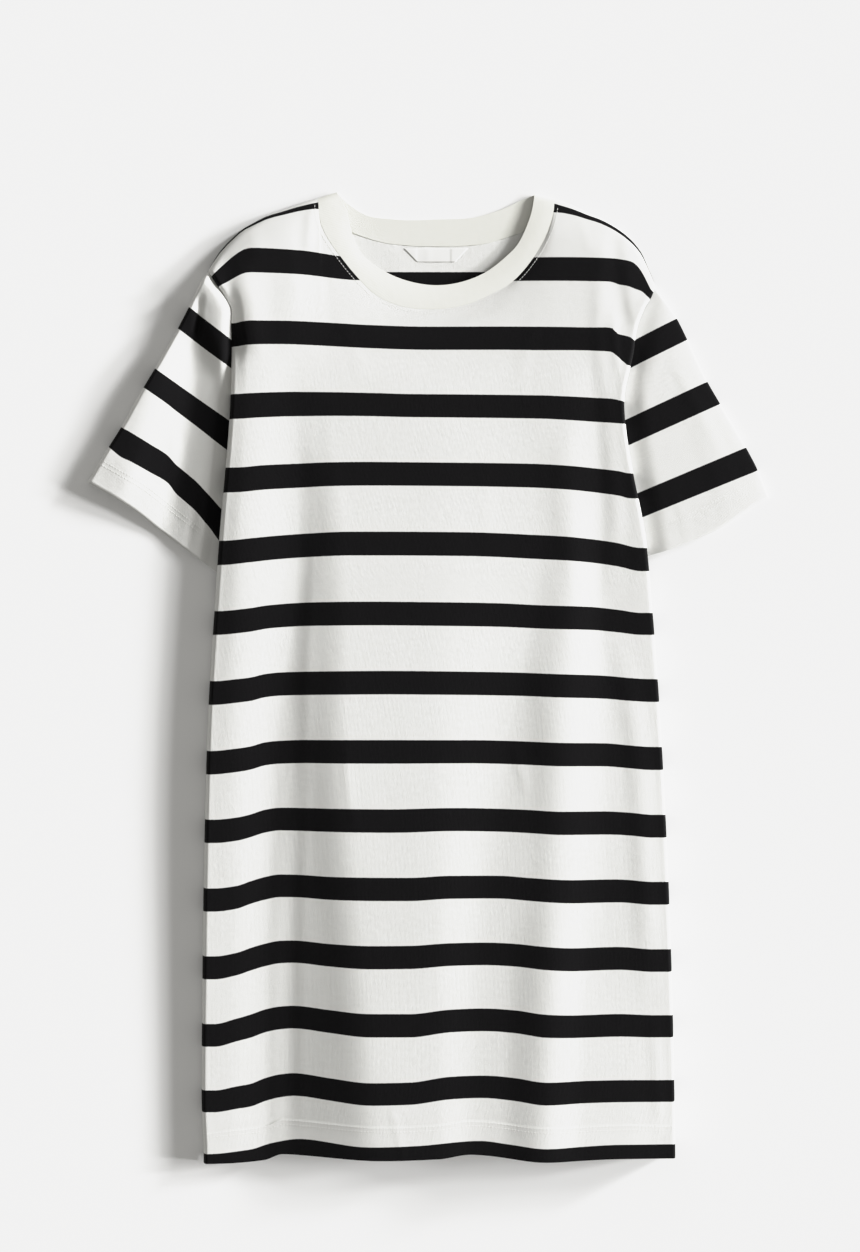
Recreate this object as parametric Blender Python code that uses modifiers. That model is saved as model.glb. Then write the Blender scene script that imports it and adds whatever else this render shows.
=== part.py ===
"""A short-sleeved T-shirt dress in cotton jersey, laid out flat with its front upwards.

Each piece that is cut and sewn is one solid: front panel, back panel, two sleeves, the rib
neckband and the hanger label. The back panel and the undersides of the sleeves lie on the
surface. The front panel stands over them in soft lengthwise folds and is open at neck and hem.

X runs across the dress, Y from the hem up to the neck, and Z up from the surface. Tables are in
millimetres: x from the centre line of the neckband, y from the hem line, z from the surface.
"""

import math

import bmesh
import bpy
import numpy as np

MM = 0.001

# Driving dimensions
WALL = 1.5                # jersey, as a wall
RIB_WALL = 2.0            # neckband, rib folded double
LABEL_WALL = 1.0
SEAM_GAP = 0.3            # between pieces that are sewn to each other
CORNER_GAP = 0.7          # more where the neck seam turns over the shoulders
MIDDLE = (-1.5, 462.1)    # middle of the laid-out dress, which becomes the origin

# Heights
RIM = WALL + 0.4          # where the front panel's edges end, just over the back panel
RIM_ON_SLEEVE = 6.2       # the same where a sleeve lies between
TUCKED = 3.9              # middle of a sleeve's upper wall where the body lies on it
FLOOR_WALL = WALL / 2     # middle of a wall that lies on the surface
YOKE = 14.0               # middle of the front panel below the neck
SIDE_ROLL = 7.0           # width over which the panel rounds down at its sides
SHOULDER_ROLL = 22.0      # and at its shoulders
UNDERARM = 528.0          # y above which a sleeve lies under the panel's side edge
UNDERARM_RISE = 26.0      # over this much more height the rim steps up on to the sleeve
ON_SLEEVE_WIDTH = 22.0    # and over this width it steps down again
BAND_BLEND = 40.0         # near the band the rim takes the height of the band's folds

# The front panel in level sections, from the hem up. A cell is (x, height, droop) at one fold
# line: droop is how far the cloth there hangs below its level.
FOLD_LINES = ("left_edge", "left_ridge", "left_valley", "left_flank", "mid_rise",
              "mid_ridge", "mid_valley", "right_ridge", "right_fall", "right_edge")
SECTIONS = {
    0: ((-216, 15, 3), (-194, 17, 2), (-162, 16, -3), (-124, 22, -10), (-58, 30, -6),
        (12, 32, -8), (45, 25, -12), (110, 32, -6), (184, 29, -8), (233, 24, -6)),
    78: ((-218, 15, 12), (-192, 17, 6), (-162, 16, 0), (-124, 22, -8), (-60, 29, -2),
         (12, 31, -4), (48, 24, -8), (113, 32, -3), (184, 28, -4), (232, 24, -1)),
    209: ((-217, 16, 14), (-190, 18, 8), (-158, 16, 3), (-122, 22, -4), (-66, 28, 0),
          (12, 30, -1), (56, 24, -2), (120, 31, 2), (184, 27, 2), (229, 26, 5)),
    405: ((-213, 17, 13), (-188, 19, 11), (-150, 16, 7), (-118, 22, 2), (-83, 25, 2),
          (6, 25, 3), (84, 19, 3), (124, 24, 5), (172, 19, 6), (221, 20, 10)),
    602: ((-201, 17, 11), (-180, 19, 9), (-132, 15, 5), (-112, 17, 3), (-90, 18, 2),
          (0, 18, 2), (102, 16, 3), (132, 17, 5), (164, 13, 10), (207, 15, 19)),
    733: ((-190, 15, 1), (-174, 17, 1), (-126, 14, 0), (-110, 15, -1), (-96, 15, -1),
          (0, 16, 0), (79, 15, 2), (129, 15, 3), (164, 13, 5), (185, 15, 6)),
    783: ((-189, 14, 0), (-173, 15, 0), (-126, 14, 0), (-107, 14, 0), (-96, 14, 0),
          (0, 14, 0), (72, 14, 0), (129, 14, 0), (166, 13, 0), (195, 12, 0)),
}
BODY_LEVELS = (0, 5, 15, 30, 52, 78, 104, 135, 170, 209, 248, 287, 326, 365, 405, 445, 484,
               523, 545, 565, 602, 640, 680, 710, 733, 758, 783)
FOLD_STEPS = (5, 3, 3, 5, 6, 5, 6, 4, 6)  # columns from each fold line to the next
LEFT_NECK_LINE = 3        # fold lines that run up to the ends of the neck seam
RIGHT_NECK_LINE = 7
YOKE_ROWS = (110, 88, 66, 46, 30, 18, 9, 3, 0)   # distances below the shoulder seam

# Outlines of the front panel above the armholes' lowest visible point
ARMHOLE = {
    "left": ((-189, 783), (-189, 799), (-189, 815), (-192, 821), (-196, 828), (-202, 836),
             (-212, 850)),
    "right": ((195, 783), (198, 799), (202, 810), (207, 820), (210, 824), (215, 836)),
}
SHOULDER = {
    "left": ((-212, 850), (-207, 859), (-203, 866), (-196, 875), (-188, 883), (-179, 891),
             (-170, 896), (-158, 903), (-141, 909), (-124, 915), (-107, 920)),
    "right": ((215, 836), (208, 855), (201, 870), (191, 882), (182, 890), (172, 897),
              (163, 902), (153, 906), (138, 913), (119, 920)),
}

# The neckband's two edges, each from left to right: free edge and seam, in front and behind
NECK = {
    "front_free": ((-89, 926), (-80, 908), (-75, 888), (-66, 868), (-43, 850), (-17, 840),
                   (6, 837), (33, 841), (54, 850), (71, 863), (83, 875), (91, 890), (97, 907),
                   (100, 924)),
    "front_seam": ((-107, 920), (-104, 895), (-94, 876), (-86, 865), (-67, 842), (-51, 827),
                   (-31, 818), (0, 814), (39, 820), (57, 828), (78, 840), (97, 861), (107, 877),
                   (114, 892), (118, 908), (119, 920)),
    "back_free": ((-89, 926), (-76, 914), (-61, 905), (-36, 901), (12, 901), (44, 903),
                  (59, 907), (75, 913), (85, 918), (100, 924)),
    "back_seam": ((-107, 920), (-93, 900), (-76, 889), (-66, 885), (-46, 879), (-24, 876),
                  (0, 875), (39, 876), (55, 878), (75, 884), (91, 890), (106, 900), (119, 920)),
}
# Shares of the front neckline where the front panel's columns and the band's ribs end
NECK_SHARES = (0, 0.007, 0.022, 0.05, 0.10, 0.16, 0.23, 0.30, 0.36, 0.41, 0.455, 0.50,
               0.545, 0.59, 0.64, 0.70, 0.77, 0.84, 0.90, 0.95, 0.978, 0.993, 1)
BACK_NECK_SHARES = (0.97, 0.92, 0.84, 0.74, 0.62, 0.50, 0.38, 0.26, 0.16, 0.08, 0.03)
NECK_MIDDLE = (5, 900)
NECK_REACH = 0.28         # share of the columns between each side and the neckline
BAND_FOLD = 3.2           # middle of the band where it turns over at the shoulders
BACK_BAND = 1.1           # middle of the band behind, which lies on the surface
BAND_LEAN = 1.5           # how far the free edge sinks below the seam
BAND_CROWN = 0.8
BAND_STEPS = 4

# Sleeves: each line runs from the shoulder tip or, on the armhole and cuff, from the outer edge
SLEEVES = {
    "left": {
        "armhole": ((-210, 852), (-199, 839), (-193, 831), (-186, 819), (-176, 795),
                    (-166, 757), (-162, 718), (-161, 690), (-160, 668), (-160, 648)),
        "cuff": ((-327, 649), (-282, 622), (-258, 603), (-231, 583), (-205, 564), (-197, 558)),
        "outer": ((-210, 852), (-220, 837), (-230, 816), (-240, 797), (-262, 758), (-273, 740),
                  (-295, 701), (-307, 682), (-327, 649)),
        "inner": ((-160, 648), (-171, 630), (-183, 603), (-197, 558)),
    },
    "right": {
        "armhole": ((213, 838), (206, 822), (197, 806), (189, 789), (178, 761), (170, 728),
                    (166, 699), (164, 675), (164, 653)),
        "cuff": ((324, 634), (316, 630), (299, 619), (276, 604), (250, 593), (230, 585),
                 (210, 579), (202, 577)),
        "outer": ((213, 838), (236, 805), (245, 787), (265, 745), (276, 726), (302, 682),
                  (312, 663), (324, 634)),
        "inner": ((164, 653), (175, 634), (187, 613), (202, 577)),
    },
}
SLEEVE_PUFF = {"left": 13.0, "right": 9.0}   # rise of the upper wall away from the body
SLEEVE_RISE_WIDTH = 40.0
SLEEVE_ROLL = 14.0
SLEEVE_ROWS = 13
SLEEVE_TURN = 1.7         # rise from the middle of the lower wall to the middle of its folds
SLEEVE_SHARES = (0, 0.004, 0.011, 0.03, 0.07, 0.13, 0.21, 0.30, 0.40, 0.50, 0.60, 0.70, 0.80,
                 0.88, 0.95, 0.989, 0.996, 1)
FOLD_CLEARANCE = 12.0     # a sleeve's fold fades out this close to the body
FOLD_LEAD = 0.25          # shares of its length over which a fold rises, where it ends
FOLD_END = 1.3
FOLD_FADE = 0.33          # and over which it falls
# A soft fold along each sleeve: x, y where it starts and ends, half width and height
SLEEVE_FOLDS = {
    "left": ((-222, 770), (-262, 625), 16.0, 3.5),
    "right": ((236, 770), (280, 640), 16.0, 2.5),
}

# Back panel: its hem and side corners. Its armholes follow the sleeves.
BACK_HEM = 8.0
BACK_SIDE_LEVELS = {"left": (60, 209, 405, 510, 550), "right": (60, 209, 405, 510, 568)}
BACK_NECK_MIDDLE = (5, 960)
BACK_SHOULDER_POINTS = 12
BACK_ARMHOLE_POINTS = 18
BACK_UNDERARM_POINTS = 8
ARMHOLE_GAP = 0.42        # to the sleeve, along the upper part of the armhole
CLOSE_POINTS = 13         # points from the shoulder down that keep that gap
SLEEVE_CLEARANCE = 1.2    # gap along the rest, where the sleeve's lower wall curls up
CORNER_POINTS = slice(15, 19)
CORNER_EASE = 1.4         # times that gap, round the corner under the arm

# Hanger label under the back neck seam: its corners, top left, bottom left and so on
LABEL_TOP = ((-25, 873), (36, 873))
LABEL_BOTTOM = ((-12, 860), (24, 860))
LABEL_COLUMNS = 12
LABEL_ROWS = 4
LABEL_BULGE = 1.2
LABEL_BULGE_LEAD = 0.2    # share of the bulge that is left out along the seam

WHITE_JERSEY = (0.80, 0.80, 0.78, 1.0)
RIB_WHITE = (0.84, 0.83, 0.80, 1.0)
TAPE_WHITE = (0.86, 0.86, 0.85, 1.0)
JERSEY_ROUGHNESS = 0.9
RIB_ROUGHNESS = 0.85
TAPE_ROUGHNESS = 0.7


# Curves and easing

TRACK_POINTS = 600        # points that a smooth curve's length is measured with
FOLD_POINTS = 40          # straight runs that stand for a shoulder's fold line


def hermite(knots, values, tangents, at):
    """Cubic through the values with the given tangents."""
    i = np.clip(np.searchsorted(knots, at, side="right") - 1, 0, len(knots) - 2)
    step = knots[i + 1] - knots[i]
    t = (at - knots[i]) / step
    return ((2 * t**3 - 3 * t**2 + 1) * values[i] + (t**3 - 2 * t**2 + t) * step * tangents[i]
            + (3 * t**2 - 2 * t**3) * values[i + 1] + (t**3 - t**2) * step * tangents[i + 1])


def eased(knots, values, at):
    """Smooth curve through the values that never overshoots: level at every peak and dip."""
    knots = np.asarray(knots, float)
    values = np.asarray(values, float)
    slope = np.diff(values) / np.diff(knots)
    tangents = np.zeros(len(knots))
    for i in range(1, len(knots) - 1):
        if slope[i - 1] * slope[i] > 0:
            tangents[i] = 2 * slope[i - 1] * slope[i] / (slope[i - 1] + slope[i])
    return hermite(knots, values, tangents, np.asarray(at, float))


def along(points, shares):
    """Points at the given shares of the length of the smooth curve through the points."""
    points = np.asarray(points, float)
    chord = np.append(0, np.cumsum(np.hypot(*np.diff(points, axis=0).T)))
    fine = np.linspace(0, chord[-1], TRACK_POINTS)
    track = np.stack([hermite(chord, points[:, k], np.gradient(points[:, k], chord), fine)
                      for k in (0, 1)], axis=1)
    length = np.append(0, np.cumsum(np.hypot(*np.diff(track, axis=0).T)))
    wanted = np.asarray(shares, float) * length[-1]
    return np.stack([np.interp(wanted, length, track[:, k]) for k in (0, 1)], axis=1)


def smoothstep(t):
    t = np.clip(t, 0, 1)
    return t * t * (3 - 2 * t)


def roll(distance, width):
    """Share of the full height at a distance from an edge that rounds down like an ellipse."""
    return np.sqrt(1 - (1 - np.clip(distance / width, 0, 1)) ** 2)


def distance_to(points, line):
    """Distance in plan from each point to a line of straight runs."""
    line = np.asarray(line, float)
    points = np.asarray(points, float)
    nearest = np.full(points.shape[:-1], np.inf)
    for start, run in zip(line[:-1], np.diff(line, axis=0)):
        offset = points - start
        share = np.clip(offset @ run / (run @ run), 0, 1)
        gap = offset - share[..., None] * run
        nearest = np.minimum(nearest, np.hypot(gap[..., 0], gap[..., 1]))
    return nearest


def to_shoulder_folds(points):
    """Distance to the folds over the shoulders, which run on through the neckband."""
    lines = [np.vstack([along(SHOULDER[side], np.linspace(0, 1, FOLD_POINTS)), NECK["front_free"][end]])
             for side, end in (("left", 0), ("right", -1))]
    return np.minimum(distance_to(points, lines[0]), distance_to(points, lines[1][::-1]))


def pushed_out(points, centre, distance):
    """The points moved away from a centre in plan."""
    away = np.asarray(points, float) - centre
    return points + away / np.hypot(*away.T)[:, None] * distance


def patch(bottom, top, left, right, across, upward, reach=1.0):
    """Plan positions of a grid that blends four border curves.

    Straight lines join the bottom to the top. Each side's own curve bends them over the given
    share of the width.
    """
    u = np.asarray(across)[None, :, None]
    w = np.asarray(upward)[:, None, None]
    straight = (1 - w) * bottom[None] + w * top[None]
    from_left = np.clip(1 - u / reach, 0, 1)
    from_right = np.clip(1 - (1 - u) / reach, 0, 1)
    return (straight + from_left * (left[:, None] - straight[:, :1])
            + from_right * (right[:, None] - straight[:, -1:]))


def beside(curve, distances):
    """The points of a curve moved to its left by the given distances."""
    tangents = np.gradient(curve, axis=0)
    tangents /= np.hypot(*tangents.T)[:, None]
    return curve + np.stack([-tangents[:, 1], tangents[:, 0]], axis=1) * np.c_[distances]


# Meshes

def piece(name, grid, thickness, colour, roughness, closed=False, offset=0.0):
    """A solid wall on a grid of points, rows by columns, in millimetres."""
    rows, columns, _ = grid.shape
    mesh = bpy.data.meshes.new(name)
    points = (grid - (MIDDLE[0], MIDDLE[1], 0)).reshape(-1, 3) * MM
    faces = []
    for row in range(rows - 1):
        for column in range(columns if closed else columns - 1):
            here = row * columns + column
            beside = row * columns + (column + 1) % columns
            faces.append((here, beside, beside + columns, here + columns))
    mesh.from_pydata(points.tolist(), [], faces)
    return finished(name, mesh, thickness, colour, roughness, offset)


def finished(name, mesh, thickness, colour, roughness, offset):
    """Give a mesh its object, thickness, material and place in the collection."""
    for face in mesh.polygons:
        face.use_smooth = True
    solid = bpy.data.objects.new(name, mesh)
    shell = solid.modifiers.new("Wall", "SOLIDIFY")
    shell.thickness = thickness * MM
    shell.offset = offset
    shell.use_even_offset = True
    material = bpy.data.materials.new(name)
    material.use_nodes = True
    shader = material.node_tree.nodes["Principled BSDF"]
    shader.inputs["Base Color"].default_value = colour
    shader.inputs["Roughness"].default_value = roughness
    shader.inputs["Metallic"].default_value = 0.0
    mesh.materials.append(material)
    bpy.data.collections["t_shirt_dress"].objects.link(solid)
    return solid


# Front panel

def fold_stations():
    """Column positions counted in fold lines, closer together at the two side edges."""
    stations = [0.0]
    for line, steps in enumerate(FOLD_STEPS):
        shares = np.arange(1, steps + 1) / steps
        if line == 0:
            shares = shares ** 2
        if line == len(FOLD_STEPS) - 1:
            shares = 1 - (1 - shares) ** 2
        stations.extend(line + shares)
    return np.array(stations)


def section(level, stations):
    """x, height and droop of the front panel at one level, for each column."""
    cells = np.array(list(SECTIONS.values()), float)
    levels = list(SECTIONS)
    knots = np.array([[eased(levels, cells[:, line, part], level) for part in range(3)]
                      for line in range(len(FOLD_LINES))])
    x = np.interp(stations, np.arange(len(FOLD_LINES)), knots[:, 0])
    return x, eased(knots[:, 0], knots[:, 1], x), eased(knots[:, 0], knots[:, 2], x)


def front_plan():
    """Plan positions and unrounded heights of the front panel's grid, hem to shoulders."""
    stations = fold_stations()
    plan = []
    heights = []
    for level in BODY_LEVELS:
        x, height, droop = section(level, stations)
        plan.append(np.stack([x, level - droop], axis=1))
        heights.append(height)
    base = plan[-1]
    left_columns = sum(FOLD_STEPS[:LEFT_NECK_LINE])
    right_columns = sum(FOLD_STEPS[:RIGHT_NECK_LINE])
    share = (base[:, 0] - base[0, 0]) / (base[left_columns, 0] - base[0, 0])
    left = along(SHOULDER["left"], share[:left_columns])
    neck = along(NECK["front_seam"], NECK_SHARES)
    turning = 1 - smoothstep(to_shoulder_folds(neck) / (2 * SHOULDER_ROLL))
    neck = pushed_out(neck, NECK_MIDDLE, np.c_[SEAM_GAP + CORNER_GAP * turning])
    share = (base[-1, 0] - base[:, 0]) / (base[-1, 0] - base[right_columns, 0])
    right = along(SHOULDER["right"], share[right_columns + 1:])
    top = np.concatenate([left, neck, right])
    upward = 1 - np.array(YOKE_ROWS) / YOKE_ROWS[0]
    across = stations / stations[-1]
    yoke = patch(base, top, along(ARMHOLE["left"], upward), along(ARMHOLE["right"], upward),
                 across, upward, reach=NECK_REACH)
    for row, share in zip(yoke[1:], upward[1:]):
        plan.append(row)
        heights.append((1 - share) * heights[len(BODY_LEVELS) - 1] + share * YOKE)
    return np.array(plan), np.array(heights)


def front_grid():
    """Points of the front panel, rounded down to its rim at the sides and shoulders."""
    plan, heights = front_plan()
    to_side = np.minimum(distance_to(plan, plan[:, 0]), distance_to(plan, plan[:, -1]))
    to_shoulder = to_shoulder_folds(plan)
    to_shoulder[-1, :sum(FOLD_STEPS[:LEFT_NECK_LINE]) + 1] = 0
    to_shoulder[-1, sum(FOLD_STEPS[:RIGHT_NECK_LINE]):] = 0
    on_sleeve = smoothstep((plan[..., 1] - UNDERARM) / UNDERARM_RISE)
    on_sleeve *= 1 - smoothstep(to_side / ON_SLEEVE_WIDTH)
    rim = RIM + (RIM_ON_SLEEVE - RIM) * on_sleeve
    to_band = np.minimum(distance_to(plan, (SHOULDER["left"][-1], NECK["front_free"][0])),
                         distance_to(plan, (SHOULDER["right"][-1], NECK["front_free"][-1])))
    rim += (BAND_FOLD - RIM) * (1 - smoothstep(to_band / BAND_BLEND))
    round_down = roll(to_side, SIDE_ROLL) * roll(to_shoulder, SHOULDER_ROLL)
    z = rim + (heights - rim) * round_down
    return np.dstack([plan, z])


# Neckband

def neckband_grid():
    """Ring of ribs from the free edge to the seam: front left to right, then back again."""
    front = np.array(NECK_SHARES)
    back = np.array(BACK_NECK_SHARES)
    free = np.concatenate([along(NECK["front_free"], front), along(NECK["back_free"], back)])
    seam = np.concatenate([along(NECK["front_seam"], front), along(NECK["back_seam"], back)])
    rows = []
    for share in np.linspace(0, 1, BAND_STEPS):
        plan = free + (seam - free) * share
        raised = roll(to_shoulder_folds(plan), SHOULDER_ROLL)
        raised[0] = raised[len(front) - 1] = 0
        lift = BAND_CROWN * math.sin(math.pi * share) - BAND_LEAN * (1 - share)
        height = BAND_FOLD + (YOKE + lift - BAND_FOLD) * raised
        height[len(front):] = BACK_BAND
        rows.append(np.column_stack([plan, height]))
    return np.array(rows)


# Sleeves

def fold_rise(plan, fold):
    """Rise of one soft fold along the line from its start to its end."""
    start, end, half_width, height = fold
    run = np.subtract(end, start).astype(float)
    length = math.hypot(*run)
    run /= length
    offset = plan - start
    share = (offset @ run) / length
    beside = np.abs(offset @ np.array([-run[1], run[0]]))
    ends = smoothstep(share / FOLD_LEAD) * smoothstep((FOLD_END - share) / FOLD_FADE)
    return height * ends * (1 - smoothstep(beside / half_width))


def sleeve_grid(side, body_edge):
    """Closed rings of a sleeve from the armhole to the cuff: upper wall, then lower wall."""
    lines = SLEEVES[side]
    outward = -1 if side == "left" else 1
    down = np.linspace(0, 1, SLEEVE_ROWS)
    shares = np.array(SLEEVE_SHARES)
    plan = patch(along(lines["armhole"], shares), along(lines["cuff"], shares),
                 along(lines["outer"], down), along(lines["inner"], down), shares, down)
    width = np.hypot(*np.moveaxis(plan[:, -1] - plan[:, 0], -1, 0))[:, None]
    body_x = np.interp(plan[..., 1], body_edge[:, 1], body_edge[:, 0])
    clear = outward * (plan[..., 0] - body_x)
    rise = SLEEVE_PUFF[side] * smoothstep(clear / SLEEVE_RISE_WIDTH)
    rise += fold_rise(plan, SLEEVE_FOLDS[side]) * smoothstep(clear / FOLD_CLEARANCE)
    turn = FLOOR_WALL + SLEEVE_TURN
    to_fold = np.minimum(shares, 1 - shares) * width
    upper = turn + (TUCKED - turn) * roll(to_fold, SLEEVE_TURN)
    upper += rise * roll(shares * width, SLEEVE_ROLL)
    lower = turn - SLEEVE_TURN * roll(to_fold, SLEEVE_TURN)
    top = np.dstack([plan, upper])
    bottom = np.dstack([plan, lower])[:, -2:0:-1]
    ring = np.concatenate([top, bottom], axis=1)
    return ring if side == "left" else ring[:, ::-1]


# Back panel

def back_outline():
    """Outline of the back panel: up the left side, over the neck and down the right."""
    outline = []
    for side in ("left", "right"):
        lines = SLEEVES[side]
        inward = 1.0 if side == "left" else -1.0
        column = 0 if side == "left" else -1
        hem_x = section(0, fold_stations())[0][column]
        half = [(hem_x, BACK_HEM)]
        for level in BACK_SIDE_LEVELS[side]:
            x, _, droop = section(level, fold_stations())
            half.append((x[column], level - droop[column]))
        armhole = along(lines["armhole"], np.linspace(0, 0.985, BACK_ARMHOLE_POINTS))
        under = along(lines["inner"], np.linspace(0.02, 1, BACK_UNDERARM_POINTS))
        clearance = np.full(BACK_ARMHOLE_POINTS + BACK_UNDERARM_POINTS, SLEEVE_CLEARANCE)
        clearance[:CLOSE_POINTS] = ARMHOLE_GAP
        clearance[CORNER_POINTS] *= CORNER_EASE
        edge = beside(np.concatenate([armhole, under]), clearance * inward)[::-1]
        shoulder = along(SHOULDER[side], np.linspace(0.04, 1, BACK_SHOULDER_POINTS))
        half = np.concatenate([half, edge, shoulder])
        outline.append(half)
    left, right = outline
    shares = np.array(BACK_NECK_SHARES[::-1])
    neck = pushed_out(along(NECK["back_seam"], shares), BACK_NECK_MIDDLE, SEAM_GAP)
    left[-1] += (-SEAM_GAP, 0)
    right[-1] += (SEAM_GAP, 0)
    return np.concatenate([left, neck, right[::-1]])


def add_back_panel():
    """A flat wall on the surface, cut to the back panel's outline."""
    outline = back_outline() - MIDDLE
    shape = bmesh.new()
    corners = [shape.verts.new((x * MM, y * MM, 0)) for x, y in outline]
    shape.faces.new(corners)
    bmesh.ops.triangulate(shape, faces=shape.faces[:])
    for face in shape.faces:
        if face.normal.z < 0:
            face.normal_flip()
    mesh = bpy.data.meshes.new("back_panel")
    shape.to_mesh(mesh)
    shape.free()
    return finished("back_panel", mesh, WALL, WHITE_JERSEY, JERSEY_ROUGHNESS, offset=1.0)


# Label

def label_grid():
    """A mitred strip that lies on the back panel's inside and bulges a little."""
    rows = []
    for down in np.linspace(0, 1, LABEL_ROWS):
        ends = [np.add(np.multiply(top, 1 - down), np.multiply(bottom, down))
                for top, bottom in zip(LABEL_TOP, LABEL_BOTTOM)]
        shares = np.linspace(0, 1, LABEL_COLUMNS)[:, None]
        plan = ends[0] * (1 - shares) + ends[1] * shares
        lead = LABEL_BULGE_LEAD + (1 - LABEL_BULGE_LEAD) * down
        bulge = LABEL_BULGE * np.sin(math.pi * shares[:, 0]) * math.sin(math.pi * lead)
        z = WALL + SEAM_GAP + LABEL_WALL / 2 + bulge
        rows.append(np.column_stack([plan, z]))
    return np.array(rows)


def main():
    for thing in list(bpy.data.objects):
        bpy.data.objects.remove(thing, do_unlink=True)
    dress = bpy.data.collections.new("t_shirt_dress")
    bpy.context.scene.collection.children.link(dress)

    front = front_grid()
    piece("front_panel", front, WALL, WHITE_JERSEY, JERSEY_ROUGHNESS)
    add_back_panel()
    for side, column in (("left", 0), ("right", -1)):
        grid = sleeve_grid(side, front[:, column, :2])
        piece("sleeve_" + side, grid, WALL, WHITE_JERSEY, JERSEY_ROUGHNESS, closed=True)
    piece("neckband", neckband_grid(), RIB_WALL, RIB_WHITE, RIB_ROUGHNESS, closed=True)
    piece("neck_label", label_grid(), LABEL_WALL, TAPE_WHITE, TAPE_ROUGHNESS)


main()
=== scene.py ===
"""Looks of the T-shirt dress: striped jersey, rib neckband, label, stitches, floor, light, camera.

Tables are in millimetres, as in the part's source: x from the centre line of the neckband, y from
the hem line, z from the surface that the dress lies on. placed() turns them into the frame's metres.
"""

import math

import bmesh
import bpy
import numpy as np
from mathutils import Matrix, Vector
from mathutils.bvhtree import BVHTree


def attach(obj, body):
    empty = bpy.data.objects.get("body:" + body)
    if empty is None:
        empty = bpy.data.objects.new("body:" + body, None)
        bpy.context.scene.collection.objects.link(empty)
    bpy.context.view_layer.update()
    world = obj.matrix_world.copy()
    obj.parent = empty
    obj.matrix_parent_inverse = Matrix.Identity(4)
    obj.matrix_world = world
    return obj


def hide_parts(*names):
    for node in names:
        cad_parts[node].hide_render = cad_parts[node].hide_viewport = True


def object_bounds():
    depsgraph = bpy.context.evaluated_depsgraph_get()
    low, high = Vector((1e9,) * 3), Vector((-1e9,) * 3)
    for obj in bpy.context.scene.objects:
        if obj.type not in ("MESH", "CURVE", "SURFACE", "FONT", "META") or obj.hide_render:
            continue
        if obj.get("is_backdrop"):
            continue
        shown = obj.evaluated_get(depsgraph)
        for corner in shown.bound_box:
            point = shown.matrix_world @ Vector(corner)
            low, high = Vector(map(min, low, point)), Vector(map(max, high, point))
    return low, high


MM = 0.001
MIDDLE = (-1.5, 462.1)  # the frame's origin, in the tables' x and y
ENDS = {"left": 0, "right": -1}  # where each side is found in a row of points

# Cloth
JERSEY = 1.1            # thickness of the shown cloth
RIB = 1.3
FLOOR_WALL = 0.75       # middle of the cloth that lies on the surface
SEAM_GAP = 0.1          # between the front and the band
STRIPE_PITCH = 65.5     # from one black stripe's upper edge to the next
STRIPE_WIDTH = 22.6
STRIPE_TOP = 864.8      # upper edge of the stripe below the neck, on the front

# Heights of the form: the part's own, some of them moved by a few millimetres
RIM = 1.9               # of the front's edges, just over the back
RIM_ON_SLEEVE = 6.2     # the same where a sleeve lies between
TUCKED = 3.9            # of a sleeve's upper wall under the body
SHOULDER_TIP = {"left": 23.0, "right": 12.0}  # height at the shoulders' outer ends
NECK_CORNER = {"left": 9.4, "right": 6.9}  # height at the ends of the neck seam
NECK_EDGE = 7.4         # and between them
NECK_EASE = 0.5         # share of the neckline over which the one passes into the other
SIDE_ROLL = {"left": 4.4, "right": 2.6}  # width over which the front rounds down at its sides
FOLD_SHARE = 0.5        # of a shoulder's height, reached over the fold itself
SHOULDER_ROLL = 6.0     # width of that fold, and of the slope above it
SHOULDER_SLOPE = 36.0
UNDERARM = 528.0        # y above which a sleeve lies under the front's side edge
UNDERARM_RISE = 26.0    # over this much more height the rim steps up on to the sleeve
ON_SLEEVE_WIDTH = 22.0  # and over this width it steps down again
TIP_RIM = 12.0          # the rim beside the raised top of the left sleeve
TIP_LEVEL = 770.0       # y where it starts to rise to that
TIP_RISE = 30.0         # over this much more height
TIP_FADE = 20.0         # nearer than this to the shoulder's fold it sinks again
BAND_BLEND = 40.0       # near the band the rim takes the height of the band's folds

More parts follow.
